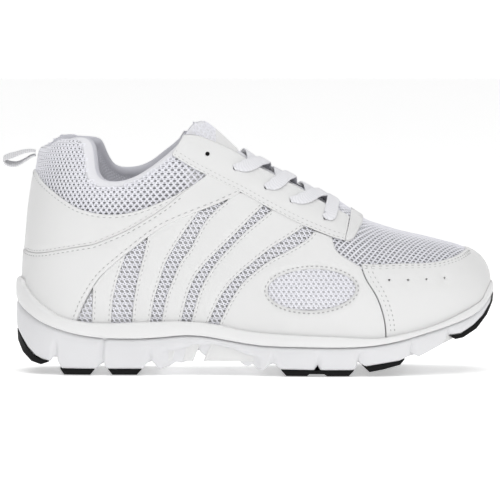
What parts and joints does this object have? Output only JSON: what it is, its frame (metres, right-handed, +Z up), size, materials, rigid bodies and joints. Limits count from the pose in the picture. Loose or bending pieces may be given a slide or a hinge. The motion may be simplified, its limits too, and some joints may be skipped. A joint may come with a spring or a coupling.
{
  "type": "cheer shoe",
  "caption": "Low white lace-up cheer shoe for the right foot, with mesh windows between side stripes, a padded collar, a heel pull loop and a notched sole with black rubber pads.",
  "frame": {"origin": "on the ground under the ball of the foot, midway across the tread", "axes": "+X towards the toe, +Z up from the ground, -Y towards the outer side of the foot"},
  "size_m": [0.2878, 0.1005, 0.1466],
  "materials": {
    "tread_rubber": "matte moulded rubber",
    "midsole_foam": "satin moulded foam",
    "rim_foam": "satin smooth foam",
    "footbed_foam": "fabric over foam",
    "stiffener": "matte",
    "board": "woven",
    "padding": "open foam",
    "lining": "soft knitted",
    "lace": "flat braided",
    "webbing": "woven tape",
    "open_mesh": "knitted mesh with round holes",
    "fine_mesh": "close knitted mesh",
    "label": "smooth",
    "leather": "smooth satin coated leather"
  },
  "bodies": {
    "shoe": {"collar_foam": "padding", "collar_lining": "lining", "collar_mesh": "fine_mesh", "collar_roll_back_lateral": "lining", "collar_roll_back_medial": "lining", "collar_roll_front_lateral": "lining", "collar_roll_front_medial": "lining", "eyestay_lateral": "leather", "eyestay_medial": "leather", "heel_counter": "stiffener", "heel_panel": "leather", "heel_strap": "leather", "insole_board": "board", "lace_bar": "lace", "lace_run_1_lateral": "lace", "lace_run_1_medial": "lace", "lace_run_2_lateral": "lace", "lace_run_2_medial": "lace", "lace_run_3_lateral": "lace", "lace_run_3_medial": "lace", "midsole_lower": "midsole_foam", "midsole_rim": "rim_foam", "oval_mesh_lateral": "fine_mesh", "oval_mesh_medial": "fine_mesh", "quarter_backing_lateral": "padding", "quarter_backing_medial": "padding", "quarter_lining_lateral": "lining", "quarter_lining_medial": "lining", "quarter_mesh_lateral": "fine_mesh", "quarter_mesh_medial": "fine_mesh", "side_panel_lateral": "leather", "side_panel_medial": "leather", "stripe_1_lateral": "leather", "stripe_1_medial": "leather", "stripe_2_lateral": "leather", "stripe_2_medial": "leather", "stripe_3_lateral": "leather", "stripe_3_medial": "leather", "stripe_4_lateral": "leather", "stripe_4_medial": "leather", "throat_tab": "leather", "toe_cap": "leather", "toe_puff": "stiffener", "tread_ball": "tread_rubber", "tread_fore": "tread_rubber", "tread_heel_back": "tread_rubber", "tread_heel_front": "tread_rubber", "tread_heel_mid": "tread_rubber", "tread_toe": "tread_rubber", "vamp_backing": "padding", "vamp_lining": "lining", "vamp_mesh": "open_mesh"},
    "tongue": {"tongue_foam": "padding", "tongue_label": "label", "tongue_lining": "lining", "tongue_outer": "open_mesh"},
    "footbed": {"footbed": "footbed_foam"},
    "pull_loop": {"pull_loop": "webbing"}
  },
  "joints": [
    {"name": "tongue_flex", "type": "hinge", "parent": "shoe", "child": "tongue", "pos_m": [0.034, 0, 0.084], "axis": [0, -1, 0], "range_deg": [0, 10], "stiffness_Nm_per_rad": 0.3, "springref_deg": -3.44},
    {"name": "pull_loop_flex", "type": "hinge", "parent": "shoe", "child": "pull_loop", "pos_m": [-0.1505, 0, 0.1265], "axis": [0, 1, 0], "range_deg": [-35, 35], "stiffness_Nm_per_rad": 0.002},
    {"name": "footbed_lift", "type": "hinge", "parent": "shoe", "child": "footbed", "pos_m": [0.108, 0, 0.041], "axis": [0, 1, 0], "range_deg": [0, 6]}
  ]
}
